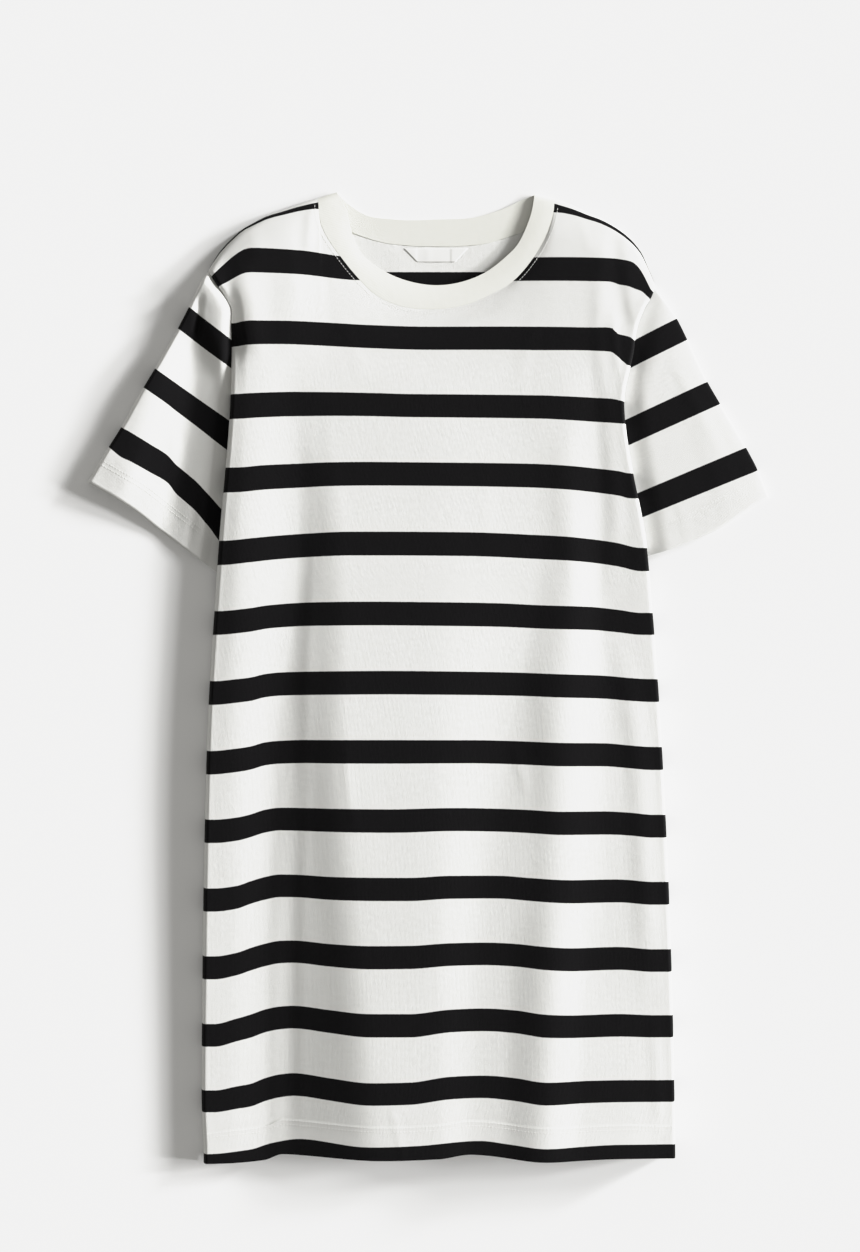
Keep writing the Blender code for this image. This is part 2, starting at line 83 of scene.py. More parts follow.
# The front's level sections: (x, height, droop) at each fold line, from the left edge to the right
FOLD_LINES = ("left_edge", "left_ridge", "left_valley", "left_flank", "mid_rise",
              "mid_ridge", "mid_valley", "right_ridge", "right_fall", "right_edge")
SECTIONS = {
    0: ((-216, 14.5, 0.5), (-194, 14.4, 0), (-158, 13.2, -3), (-140, 15, -9), (-50, 31, -6),
        (8, 33, -8), (38, 31.4, -12), (110, 35.5, -6), (184, 34, -8.5), (233, 31.5, -8.5)),
    78: ((-218, 14.5, 12), (-192, 14.6, 6), (-158, 13.2, 0), (-140, 15, -8), (-52, 30.8, -2),
         (6, 32.4, -4), (40, 30.8, -8), (113, 34.8, -3), (182, 33.6, -4), (232, 32, -1)),
    209: ((-217, 15.5, 14), (-190, 15.6, 8), (-157, 14, 3), (-138, 15.8, -4), (-62, 28.6, 0),
          (6, 31, -1), (46, 28.6, -2), (120, 32.6, 2), (168, 30.4, 2), (229, 31, 5)),
    405: ((-213, 17, 13), (-188, 18, 11), (-147, 14.8, 7), (-117, 19.4, 2), (-78, 24.9, 2),
          (4, 26.2, 3), (72, 22.4, 3), (124, 26.4, 5), (172, 21.4, 6), (221, 22, 10)),
    602: ((-201, 17, 11), (-180, 19, 9), (-126, 14.6, 5), (-109, 16.5, 3), (-80, 19.4, 2),
          (0, 19.4, 2), (102, 16.8, 3), (132, 18, 5), (164, 14, 10), (207, 15.5, 19)),
    733: ((-190, 16.5, 1), (-174, 17.5, 1), (-126, 14.5, 0), (-110, 14.5, -1), (-96, 14.5, -1),
          (0, 15, 0), (79, 14.5, 2), (129, 15, 3), (164, 13.5, 5), (185, 15, 6)),
    783: ((-189, 14.5, 0), (-173, 18, 0), (-126, 14.5, 0), (-107, 13.5, 0), (-96, 13, 0),
          (0, 11.5, 0), (72, 12, 0), (129, 13, 0), (166, 13, 0), (195, 13, 0)),
}
BASE_LEVEL = 783        # where the yoke starts
# How far each level line of the knit hangs below its level, at x: what bends the stripes
DROOP = {
    0: ((-216, 3), (-171, -1), (-150, -7), (-120, -12), (-62, -7), (-7, -9), (48, -13),
        (73, -10), (110, -6.5), (182, -10), (233, -10)),
    68: ((-205, 8.5), (-184, 5), (-171, 3), (-157, -2.5), (-142, -6.5), (-128, -8), (-95, -4.5),
         (-57, -1), (-19, -2), (19, -7.5), (52, -8.5), (81, -6.5), (109, -3), (152, -4.5),
         (190, -5), (211, -5)),
    133: ((-205, 11), (-184, 5.5), (-171, 2), (-157, -3), (-142, -6), (-128, -7), (-95, -4),
          (-57, -1), (-19, -1), (19, -5.5), (52, -6.5), (81, -5), (109, -1.5), (138, -0.5),
          (179, -1.5), (211, -0.5)),
    198: ((-205, 12), (-184, 8.5), (-171, 4), (-157, 0), (-142, -3), (-128, -3.5), (-95, -1),
          (-57, 0.5), (-19, 0), (19, -2.5), (52, -3), (81, -2), (109, 0.5), (138, 2),
          (179, 1), (211, 3)),
    264: ((-205, 13), (-184, 10.5), (-171, 6), (-157, 2), (-142, -0.5), (-128, -0.5), (-95, 1),
          (-38, 1.5), (-19, 1.5), (19, -0.5), (66, -0.5), (95, 1.5), (138, 3.5), (179, 3),
          (211, 5)),
    330: ((-205, 13), (-184, 11), (-171, 8), (-157, 3.5), (-142, 1.5), (-95, 2), (-38, 2.5),
          (19, 1), (66, 2), (95, 3), (124, 4.5), (166, 4.5), (190, 5.5), (211, 7.5)),
    395: ((-211, 13.5), (-184, 11), (-171, 9), (-157, 5), (-142, 3.5), (-114, 2.5), (-38, 2.5),
          (38, 2.5), (81, 3.5), (124, 5), (166, 5.5), (190, 7.5), (211, 9)),
    460: ((-205, 12.5), (-184, 10.5), (-171, 9), (-157, 5.5), (-142, 4), (-95, 3), (-38, 2.5),
          (19, 3), (81, 4), (124, 5.5), (166, 7), (190, 9), (211, 10)),
    526: ((-205, 11.5), (-171, 8.5), (-157, 6), (-142, 4.5), (-114, 3), (-57, 2.5), (0, 3),
          (66, 4), (109, 6), (152, 7), (179, 9.5), (201, 12)),
    592: ((-198, 10.5), (-171, 8), (-142, 5), (-114, 3), (-76, 1.5), (-38, 1.5), (38, 2),
          (66, 3), (95, 4.5), (124, 6), (152, 8.5), (179, 12.5), (201, 17.5)),
    657: ((-184, 6.5), (-157, 4), (-128, 2.5), (-95, 1), (-57, 0.5), (19, 1), (66, 1.5),
          (95, 2), (124, 3.5), (152, 6), (179, 9.5), (190, 12)),
    722: ((-189, 2), (-157, 0.5), (-128, -0.5), (-95, -0.5), (-57, 0), (-19, 1), (38, 1.5),
          (81, 2), (109, 2.5), (138, 4), (166, 5.5), (190, 6.5)),
    777: ((-189, -1), (-171, -2.5), (-142, -3), (-107, -2), (-57, 0.5), (0, 2), (67, 2),
          (109, 2.5), (138, 2.5), (166, 3.5), (172, 4), (178, 8), (182, 12), (190, 17.5)),
    798: ((-189, -1), (-171, -3), (-142, -3), (-107, -2), (-57, 0.5), (0, 2), (67, 2),
          (124, 2.5), (152, 3), (168, 3), (173, 3.5), (178.5, 9), (190, 12), (196, 15.5)),
    864: ((-211, 15), (-171, -7), (-124, -5), (-71, 1), (67, 1), (124, 1), (173, 2),
          (190, 4.5), (201, 9), (208, 18), (214, 27)),
}
SHOULDER_WRAP = 45.0    # length of cloth that rolls out of sight over the shoulders
SHOULDER_WRAP_WIDTH = 14.0  # and the width in plan over which it does

ARMHOLE = {
    "left": ((-189, 783), (-189, 799), (-189, 815), (-192, 821), (-196, 828), (-202, 836),
             (-212, 850)),
    "right": ((195, 783), (198, 799), (202, 810), (207, 820), (210, 824), (215, 836)),
}
SHOULDER = {
    "left": ((-212, 850), (-207, 859), (-203, 866), (-196, 875), (-188, 883), (-179, 891),
             (-170, 896), (-158, 903), (-141, 909), (-124, 915), (-107, 920)),
    "right": ((215, 836), (208, 855), (201, 870), (191, 882), (182, 890), (172, 897),
              (163, 902), (153, 906), (138, 913), (119, 920)),
}
NECK = {
    "front_free": ((-89, 926), (-80, 908), (-75, 888), (-66, 868), (-43, 850), (-17, 840),
                   (6, 837), (33, 841), (54, 850), (71, 863), (83, 875), (91, 890), (97, 907),
                   (100, 924)),
    "front_seam": ((-107, 920), (-104, 895), (-94, 876), (-86, 865), (-67, 842), (-51, 827),
                   (-31, 818), (0, 814), (39, 820), (57, 828), (78, 840), (97, 861), (107, 877),
                   (114, 892), (118, 908), (119, 920)),
    "back_free": ((-89, 926), (-76, 914), (-61, 905), (-36, 901), (12, 901), (44, 903),
                  (59, 907), (75, 913), (85, 918), (100, 924)),
    "back_seam": ((-107, 920), (-93, 900), (-76, 889), (-66, 885), (-46, 879), (-24, 876),
                  (0, 875), (39, 876), (55, 878), (75, 884), (91, 890), (106, 900), (119, 920)),
}
NECK_MIDDLE = (5, 900)  # plan point that lines round the neck are moved away from
NECK_REACH = 0.28       # share of the yoke's width that its sides bend
BAND_FOLD = 3.2         # height where the band folds over at the shoulders
BACK_BAND = 0.95        # and of its back, which lies on the surface
BAND_LEAN = 1.0         # how much lower its free edge is than its seam
BAND_CROWN = 0.3        # rise between the two

SLEEVES = {
    "left": {
        "armhole": ((-210, 852), (-199, 839), (-193, 831), (-186, 819), (-176, 795),
                    (-166, 757), (-162, 718), (-161, 690), (-160, 668), (-160, 648)),
        "cuff": ((-327, 649), (-282, 622), (-258, 603), (-231, 583), (-205, 564), (-197, 558)),
        "outer": ((-210, 852), (-220, 837), (-230, 816), (-240, 797), (-262, 758), (-273, 740),
                  (-295, 701), (-307, 682), (-327, 649)),
        "inner": ((-160, 648), (-171, 630), (-183, 603), (-197, 558)),
    },
    "right": {
        "armhole": ((213, 838), (206, 822), (197, 806), (189, 789), (178, 761), (170, 728),
                    (166, 699), (164, 675), (164, 653)),
        "cuff": ((324, 634), (316, 630), (299, 619), (276, 604), (250, 593), (230, 585),
                 (210, 579), (202, 577)),
        "outer": ((213, 838), (236, 805), (245, 787), (265, 745), (276, 726), (302, 682),
                  (312, 663), (324, 634)),
        "inner": ((164, 653), (175, 634), (187, 613), (202, 577)),
    },
}
# A sleeve's upper wall rises in steps away from the body. Each: where it starts and ends beside
# the body, at the armhole and at the cuff, and its height by the share of the way between them.
SLEEVE_RISES = {
    "left": (((-8, 8), (9, 18), ((0, 13.5), (0.15, 12), (0.3, 5.5), (0.5, 5), (0.8, 4.5), (1, 3.5))),
             ((12, 34), (12, 60), ((0, -3), (0.2, -2.5), (0.5, -4.2), (0.8, -5.5), (1, -4))),
             ((20, 46), (48, 110), ((0, 5), (0.3, 9), (0.5, 11.2), (0.85, 11), (1, 8.5)))),
    "right": (((0, 25), (0, 23), ((0, 3.5), (1, 3.5))),),
}
CREASE_CLEARANCE = 12.0  # a sleeve's creases fade out this close to the body
SLEEVE_ROLL = {"left": 4.0, "right": 80.0}  # width over which a sleeve rises from its outer fold
SLEEVE_TURN = 1.7       # radius of the cloth at a sleeve's folds
# Creases, listed one by one. A row: rise (a trough's is below zero), reach to the left and to the right
# of the line, and the line itself from its lower end up. Each fades out towards its two ends.
CREASES = (
    # down the left valley
    (-0.6, 16, 14, ((-135, -90), (-134, 61), (-133, 188), (-130, 315), (-127, 378), (-124, 500),
                    (-120, 560))),
    (0.8, 36, 50, ((-46, -170), (-54, 61), (-68, 188), (-79, 315), (-88, 441), (-92, 560))),
    (0.5, 18, 24, ((-112, 500), (-102, 560), (-98, 622), (-120, 710))),
    (0.25, 6, 7, ((-20, -20), (-28, 20), (-40, 66))),
    (0.3, 7, 12, ((-66, 300), (-78, 360), (-80, 420))),
    # right of the middle
    (3.2, 42, 36, ((107, -170), (108, -20), (111, 100), (115, 210), (120, 300))),
    (0.9, 26, 34, ((112, 150), (116, 251), (118, 315), (120, 378), (116, 441), (108, 520))),
    (0.3, 8, 9, ((92, 348), (86, 372), (78, 405))),
    (0.3, 14, 20, ((138, 540), (126, 620), (125, 710))),
    (0.25, 12, 12, ((60, 560), (52, 620), (56, 690))),
    # down the right side
    (1.1, 16, 18, ((206, 130), (205, 200), (200, 315), (197, 378), (190, 441), (170, 530))),
    (0.8, 12, 14, ((174, 520), (174, 560), (176, 612), (170, 684), (165, 752), (154, 850))),
    (0.4, 10, 10, ((163, 790), (161, 825), (158, 860))),
    (0.9, 20, 34, ((-132, 760), (-133, 815), (-130, 860))),
    (0.4, 8, 10, ((216, 20), (214, 90), (208, 160))),
    # from the armholes and shoulders
    (-3.8, 8, 23, ((-182, 755), (-188, 790), (-190, 812), (-197, 828), (-207, 843))),
    (1.1, 14, 22, ((-172, 762), (-176, 800), (-178, 868))),
    (-1.2, 16, 10, ((190, 780), (184, 812), (179, 850), (176, 905))),
    (0.8, 12, 3, ((182, 745), (179, 768), (177, 790), (176, 815))),
    (0.8, 9, 8, ((-118, 862), (-115, 888), (-112, 925))),
    (0.6, 8, 8, ((-162, 852), (-166, 874), (-170, 900))),
    (0.3, 8, 8, ((150, 868), (148, 884), (141, 908))),
    (0.25, 10, 10, ((-60, 735), (-70, 770), (-88, 815))),
    (0.25, 10, 12, ((84, 730), (90, 768), (104, 812))),
)
SLEEVE_CREASES = {
    "left": (
        (0.6, 20, 24, ((-274, 581), (-248, 676), (-222, 770))),
        (-0.8, 7, 7, ((-236, 560), (-228, 600), (-222, 640))),
        (-1.8, 6, 6, ((-225, 778), (-221, 806), (-218, 832))),
        (0.5, 8, 10, ((-250, 640), (-244, 668), (-246, 700))),
        (0.4, 10, 12, ((-300, 625), (-284, 660), (-270, 700))),
    ),
    "right": (
        (0.5, 16, 20, ((293, 601), (258, 705), (236, 770))),
        (0.35, 9, 12, ((292, 650), (276, 680), (256, 720), (238, 752), (226, 790))),
        (0.25, 6, 8, ((205, 700), (203, 742), (208, 790))),
        (0.2, 8, 8, ((246, 590), (240, 620), (226, 652))),
        (0.2, 8, 10, ((304, 625), (290, 652), (284, 676))),
    ),
}
BACK_CREASES = (
    (0.2, 22, 26, ((-20, 835), (-34, 862), (-58, 905))),
    (0.25, 24, 20, ((30, 830), (52, 858), (78, 900))),
    (0.4, 20, 24, ((-130, -40), (-118, 120), (-96, 300))),
    (0.5, 18, 26, ((-20, -60), (4, 90), (-8, 260))),
    (0.4, 24, 20, ((120, -30), (106, 140), (128, 330))),
    (0.4, 16, 20, ((-70, 380), (-60, 500), (-84, 640))),
    (0.4, 20, 16, ((66, 420), (84, 560), (70, 700))),
    (0.3, 18, 18, ((-20, 560), (10, 700), (4, 820))),
)
CREASE_FADE = 0.3       # share of the line over which each end fades
# Straight runs that stand for a curve, for a crease's line and for the fold over a shoulder
CURVE_RUNS = 599
CREASE_RUNS = 24
SHOULDER_RUNS = 39
LEVEL_ROUNDS = 4        # in which a point's level in the knit settles

# Sewing
HEM_ROWS = (28.5, 32.5)  # distances of the twin rows of stitches from the hem
CUFF_ROWS = (21.0, 25.0)
NECK_ROW = 3.6          # and of the single row from the neck seam
NECK_ROW_SPAN = (0.02, 0.98)  # shares of the seam between which it runs
NECK_ROW_POINTS = 300
HEM_LAYER = 0.35        # what the turned-up cloth adds
STITCH = 2.3            # length of a stitch on the outside
STITCH_PITCH = 3.1
THREAD = 0.21           # half the thread's width

# Upper edges of the sleeves' stripes from the lowest up: an outer and an inner point on each
SLEEVE_STRIPES = {
    "left": (((-296, 702), (-200, 624)), ((-263, 758), (-193, 709)), ((-231, 817), (-190, 785))),
    "right": (((303, 683), (201, 640)), ((266, 746), (189, 710)), ((236, 806), (195, 785))),
}
# How far the lowest of them is pushed up off its straight line, at x
SLEEVE_BENDS = {
    "left": ((-297, 0.5), (-285, 2.7), (-266, 6), (-251, 8.4), (-242, 6), (-226, 5.8), (-213, 3.4),
             (-199, 0.3)),
    "right": ((180, 0), (330, 0)),
}
BEND_GROWTH = 1.2       # how fast that grows below it and fades above it, per repeat

# Linear colours, and what each is clouded or flecked with
WHITE = (0.725, 0.725, 0.705, 1)
WHITE_CLOUD = (0.70, 0.70, 0.68, 1)
WHITE_FLECK = (0.62, 0.62, 0.60, 1)
BLACK = (0.0028, 0.0026, 0.0030, 1)
BLACK_FLECK = (0.0045, 0.0042, 0.0048, 1)
RIB_WHITE = (0.755, 0.755, 0.70, 1)
RIB_CLOUD = (0.74, 0.74, 0.685, 1)
RIB_FLECK = (0.66, 0.66, 0.62, 1)
LABEL_WHITE = (0.78, 0.78, 0.76, 1)
LABEL_GRAIN = (0.74, 0.74, 0.72, 1)
THREAD_WHITE = (0.78, 0.78, 0.76, 1)
THREAD_GRAIN = (0.70, 0.70, 0.68, 1)
FLOOR = (0.90, 0.90, 0.90, 1)
FLOOR_GRAIN = (0.885, 0.885, 0.885, 1)

# Camera: straight over the dress
LENS = 70.0
SENSOR = 36.0
FRAME_HEIGHT = 1199.4   # of the surface, seen from top to bottom of the picture
LOOK_AT = (0.0, 511.6)


# Curves and easing

def hermite(knots, values, tangents, at):
    """Cubic through the values with the given tangents."""
    i = np.clip(np.searchsorted(knots, at, side="right") - 1, 0, len(knots) - 2)
    step = knots[i + 1] - knots[i]
    t = (at - knots[i]) / step
    return ((2 * t**3 - 3 * t**2 + 1) * values[i] + (t**3 - 2 * t**2 + t) * step * tangents[i]
            + (3 * t**2 - 2 * t**3) * values[i + 1] + (t**3 - t**2) * step * tangents[i + 1])


def eased(knots, values, at):
    """Smooth curve through the values that never overshoots: level at every peak and dip."""
    knots = np.asarray(knots, float)
    values = np.asarray(values, float)
    slope = np.diff(values) / np.diff(knots)
    tangents = np.zeros(len(knots))
    for i in range(1, len(knots) - 1):
        if slope[i - 1] * slope[i] > 0:
            tangents[i] = 2 * slope[i - 1] * slope[i] / (slope[i - 1] + slope[i])
    return hermite(knots, values, tangents, np.clip(at, knots[0], knots[-1]))


def run_lengths(line):
    """Length of a line in plan up to each of its points."""
    return np.append(0, np.cumsum(np.hypot(*np.diff(line, axis=0).T)))


def between(at, lengths, line):
    """Plan points of a line at the given lengths along it."""
    return np.stack([np.interp(at, lengths, line[:, k]) for k in (0, 1)], axis=-1)


def along(points, shares):
    """Points at the given shares of the length of the smooth curve through the points."""
    points = np.asarray(points, float)
    chord = run_lengths(points)
    fine = np.linspace(0, chord[-1], CURVE_RUNS + 1)
    track = np.stack([hermite(chord, points[:, k], np.gradient(points[:, k], chord), fine)
                      for k in (0, 1)], axis=1)
    lengths = run_lengths(track)
    return between(np.asarray(shares, float) * lengths[-1], lengths, track)


def smoothstep(t):
    """From 0 to 1, level at both ends."""
    t = np.clip(t, 0, 1)
    return t * t * (3 - 2 * t)


def crowded(count, strength):
    """Shares from 0 to 1, drawn to the two ends: not at all at strength 0, most at 1."""
    t = np.linspace(0, 1, count)
    return t - strength * np.sin(2 * math.pi * t) / (2 * math.pi)


def roll(distance, width):
    """Share of the full height at a distance from an edge that rounds down like an ellipse."""
    return np.sqrt(1 - (1 - np.clip(distance / width, 0, 1)) ** 2)


def nearest_on(points, line):
    """Distance in plan to a line of straight runs, if a point is left of it, and share along it."""
    nearest = np.full(points.shape[:-1], np.inf)
    to_left = np.zeros(points.shape[:-1], bool)
    share = np.zeros(points.shape[:-1])
    for number, (start, run) in enumerate(zip(line[:-1], np.diff(line, axis=0))):
        offset = points - start
        part = np.clip(offset @ run / (run @ run), 0, 1)
        gap = offset - part[..., None] * run
        distance = np.hypot(gap[..., 0], gap[..., 1])
        closer = distance < nearest
        nearest[closer] = distance[closer]
        to_left[closer] = (run[0] * offset[..., 1] > run[1] * offset[..., 0])[closer]
        share[closer] = (number + part[closer]) / (len(line) - 1)
    return nearest, to_left, share


def distance_to(points, line):
    """The distance alone."""
    return nearest_on(points, np.asarray(line, float))[0]


def off_neck(line, distance):
    """A line round the neck, moved outwards."""
    away = line - NECK_MIDDLE
    return line + away / np.hypot(*away.T)[:, None] * distance


def neck_height(shares):
    """The front's height along the neck seam, at shares of its length."""
    height = NECK_EDGE
    for side, share in (("left", shares), ("right", 1 - shares)):
        height = height + (NECK_CORNER[side] - NECK_EDGE) * (1 - smoothstep(share / NECK_EASE))
    return height


def over_shoulder(low, high, distance):
    """Height at a distance from the folds over the shoulders: a tight turn, then a long slope."""
    slope = 1 - (1 - np.clip(distance / SHOULDER_SLOPE, 0, 1)) ** 2
    return low + (high - low) * (FOLD_SHARE * roll(distance, SHOULDER_ROLL) + (1 - FOLD_SHARE) * slope)


def to_shoulder_folds(points):
    """Distance to the folds over the shoulders, which run on through the neckband."""
    shares = np.linspace(0, 1, SHOULDER_RUNS + 1)
    lines = [np.vstack([along(SHOULDER[side], shares), NECK["front_free"][end]])
             for side, end in ENDS.items()]
    return np.minimum(*(distance_to(points, line) for line in lines))


def patch(bottom, top, left, right, across, upward, reach=1.0):
    """Plan positions between four border curves; the sides bend a share of the width."""
    u = np.asarray(across)[None, :, None]
    w = np.asarray(upward)[:, None, None]
    straight = (1 - w) * bottom + w * top
    from_left = np.clip(1 - u / reach, 0, 1)
    from_right = np.clip(1 - (1 - u) / reach, 0, 1)
    return (straight + from_left * (left[:, None] - straight[:, :1])
            + from_right * (right[:, None] - straight[:, -1:]))


def relief(plan, creases):
    """Rise of all the creases at each plan point."""
    total = np.zeros(plan.shape[:-1])
    for rise, left, right, line in creases:
        track = along(line, np.linspace(0, 1, CREASE_RUNS + 1))
        reach = max(left, right)
        near = np.all((plan > track.min(axis=0) - reach) & (plan < track.max(axis=0) + reach), axis=-1)
        nearest, to_left, share = nearest_on(plan[near], track)
        fade = smoothstep(share / CREASE_FADE) * smoothstep((1 - share) / CREASE_FADE)
        total[near] += rise * fade * (1 - smoothstep(nearest / np.where(to_left, left, right)))
    return total


def placed(points):
    """Table points as points of the frame, in metres."""
    return (np.asarray(points, float) - (*MIDDLE, 0)) * MM


# Knit: where each point lies in the cloth, which the stripes and the ribs follow

def knit_level(plan):
    """Height of each plan point of the front in the knit, counted in level lines."""
    x, y = plan[..., 0], plan[..., 1]
    levels = np.array(list(DROOP), float)
    droops = np.array([eased(*np.transpose(cells), x) for cells in DROOP.values()])
    level = y.copy()
    for _ in range(LEVEL_ROUNDS):
        row = np.clip(np.searchsorted(levels, level) - 1, 0, len(levels) - 2)
        share = np.clip((level - levels[row]) / (levels[row + 1] - levels[row]), 0, 1)
        low = np.take_along_axis(droops, row[None], 0)[0]
        high = np.take_along_axis(droops, row[None] + 1, 0)[0]
        level = y + low + (high - low) * share
    wrap = np.clip(1 - to_shoulder_folds(plan) / SHOULDER_WRAP_WIDTH, 0, 1)
    return level + SHOULDER_WRAP * wrap ** 3


def sleeve_level(plan, side):
    """The same for a sleeve, between the upper edges of its stripes."""
    heights = []
    for outer, inner in SLEEVE_STRIPES[side]:
        run = np.subtract(inner, outer)
        upward = np.array([-run[1], run[0]]) * np.sign(run[0]) / math.hypot(*run)
        heights.append((plan - outer) @ upward)
    low, middle, high = heights
    first = low / (low - middle)
    bend = eased(*np.transpose(SLEEVE_BENDS[side]), plan[..., 0])
    first -= bend * np.clip(1 - BEND_GROWTH * first, 0, None) / STRIPE_PITCH
    second = middle / (middle - high)
    return STRIPE_TOP + STRIPE_PITCH * np.where(middle < 0, first, 1 + second)


# Meshes

def add_object(data):
    """Put a mesh, light or camera into the scene under its own name."""
    thing = bpy.data.objects.new(data.name, data)
    bpy.context.scene.collection.objects.link(thing)
    return thing


def add_piece(mesh, material, thickness=0.0, offset=0.0):
    """Put a smooth mesh into the scene, as a shell where it has a thickness."""
    mesh.polygons.foreach_set("use_smooth", np.ones(len(mesh.polygons), bool))
    mesh.materials.append(material)
    piece = add_object(mesh)
    if thickness:
        shell = piece.modifiers.new("Thickness", "SOLIDIFY")
        shell.thickness = thickness * MM
        shell.offset = offset
        shell.use_even_offset = False
    return piece


def quads(row, column, beside, width):
    """Corner numbers of a grid's faces."""
    low = row * width
    high = low + width
    return np.stack([low + column, low + beside, high + beside, high + column], axis=1)


def cloth(name, grid, knit, thickness, material, closed=False):
    """A thin shell on a grid of points. knit is each point's place in the cloth, as a UV map."""
    rows, columns, _ = grid.shape
    span = columns if closed else columns - 1
    row, column = np.meshgrid(np.arange(rows - 1), np.arange(span), indexing="ij")
    row, column = row.ravel(), column.ravel()
    faces = quads(row, column, (column + 1) % columns, columns)
    mesh = bpy.data.meshes.new(name)
    mesh.from_pydata(placed(grid).reshape(-1, 3).tolist(), [], faces.tolist())
    uv = mesh.uv_layers.new(name="knit")
    if closed:
        knit = np.concatenate([knit, knit[:, :1]], axis=1)
        knit[:, -1, 0] = 2 * knit[:, -2, 0] - knit[:, -3, 0]
    corners = quads(row, column, column + 1, knit.shape[1])
    flat = knit.reshape(-1, 2)[corners.ravel()]
    uv.data.foreach_set("uv", (flat * MM).astype(np.float32).ravel())
    return add_piece(mesh, material, thickness)


def arc_lengths(grid, axis):
    """Running length of the grid's lines along one axis."""
    steps = np.linalg.norm(np.diff(grid, axis=axis), axis=-1)
    lengths = np.cumsum(steps, axis=axis)
    first = np.zeros_like(np.take(lengths, [0], axis=axis))
    return np.concatenate([first, lengths], axis=axis)


# Materials

class Nodes:
    """Short names for adding and joining a material's nodes."""

    def __init__(self, name):
        self.material = bpy.data.materials.new(name)
        self.material.use_nodes = True
        self.tree = self.material.node_tree
        self.shader = self.tree.nodes["Principled BSDF"]
        self.shader.inputs["Metallic"].default_value = 0.0

    def join(self, value, socket):
        if hasattr(value, "links"):
            self.tree.links.new(value, socket)
        else:
            socket.default_value = value

    def new(self, kind, **inputs):
        """A new node with the given values, or links, at its inputs."""
        node = self.tree.nodes.new("ShaderNode" + kind)
        for name, value in inputs.items():
            self.join(value, node.inputs[name])
        return node

    def math(self, operation, a, b=0.0, c=0.0):
        node = self.new("Math")
        node.operation = operation
        for value, socket in zip((a, b, c), node.inputs):
            self.join(value, socket)
        return node.outputs[0]

    def wave(self, value, length):
        return self.math("SINE", self.math("MULTIPLY", value, 2 * math.pi / length))

    def noise(self, vector, scale, detail=2.0):
        node = self.new("TexNoise", Vector=vector, Scale=scale, Detail=detail, Roughness=0.5)
        return node.outputs["Fac"]

    def mix(self, factor, a, b):
        """Mix of two colours. Its sockets share their names with other kinds, so go by number."""
        node = self.new("Mix")
        node.data_type = "RGBA"
        for value, socket in ((factor, 0), (a, 6), (b, 7)):
            self.join(value, node.inputs[socket])
        return node.outputs[2]

    def ramp(self, value, low, high):
        node = self.new("MapRange", Value=value)
        node.interpolation_type = "SMOOTHSTEP"
        node.inputs["From Min"].default_value = low
        node.inputs["From Max"].default_value = high
        return node.outputs["Result"]

    def bump(self, height, distance):
        node = self.new("Bump", Strength=1.0, Distance=distance * MM, Height=height)
        self.tree.links.new(node.outputs["Normal"], self.shader.inputs["Normal"])

    def knit(self):
        """Across and along the cloth, in millimetres, and the position in metres."""
        uv = self.new("UVMap")
        uv.uv_map = "knit"
        split = self.new("SeparateXYZ", Vector=uv.outputs["UV"])
        across = self.math("MULTIPLY", split.outputs[0], 1 / MM)
        level = self.math("MULTIPLY", split.outputs[1], 1 / MM)
        return across, level, self.new("TexCoord").outputs["Object"]

    def finish(self, roughness, sheen):
        for name, value in (("Roughness", roughness), ("Specular IOR Level", 0.1),
                            ("Sheen Weight", sheen), ("Sheen Roughness", 0.5)):
            self.shader.inputs[name].default_value = value


# Scales of the noise, in waves per metre, and shares of the flecks
FUZZ_SCALE = 1400.0
FLECK_SCALE = 900.0
RELIEF_SCALE = 160.0
CLOUD_SCALE = 28.0
RIB_CLOUD_SCALE = 40.0
WHITE_FLECKS = 0.15
BLACK_FLECKS = 0.5
RIB_FLECKS = 0.10

WALE = 1.25             # width of one column of knit stitches
COURSE = 0.95           # height of one row of them
WALE_SHARE = 0.6        # of the knit's relief
COURSE_SHARE = 0.4
STITCH_LEAN = 1.2       # how far the rows zigzag
KNIT_DEPTH = 0.05       # depth of that relief
UNEVENNESS = 4.0        # of the cloth, against that relief
STRIPE_FUZZ = 0.7       # how far a stripe's edge strays from its line
STRIPE_SOFTNESS = 0.5   # width over which it turns from white to black

RIB_PITCH = 1.7
RIB_COURSE = 0.9
RIB_COURSE_SHARE = 0.25  # depth of its rows of stitches against that of its ribs
RIB_DEPTH = 0.045
RIB_UNEVENNESS = 3.0


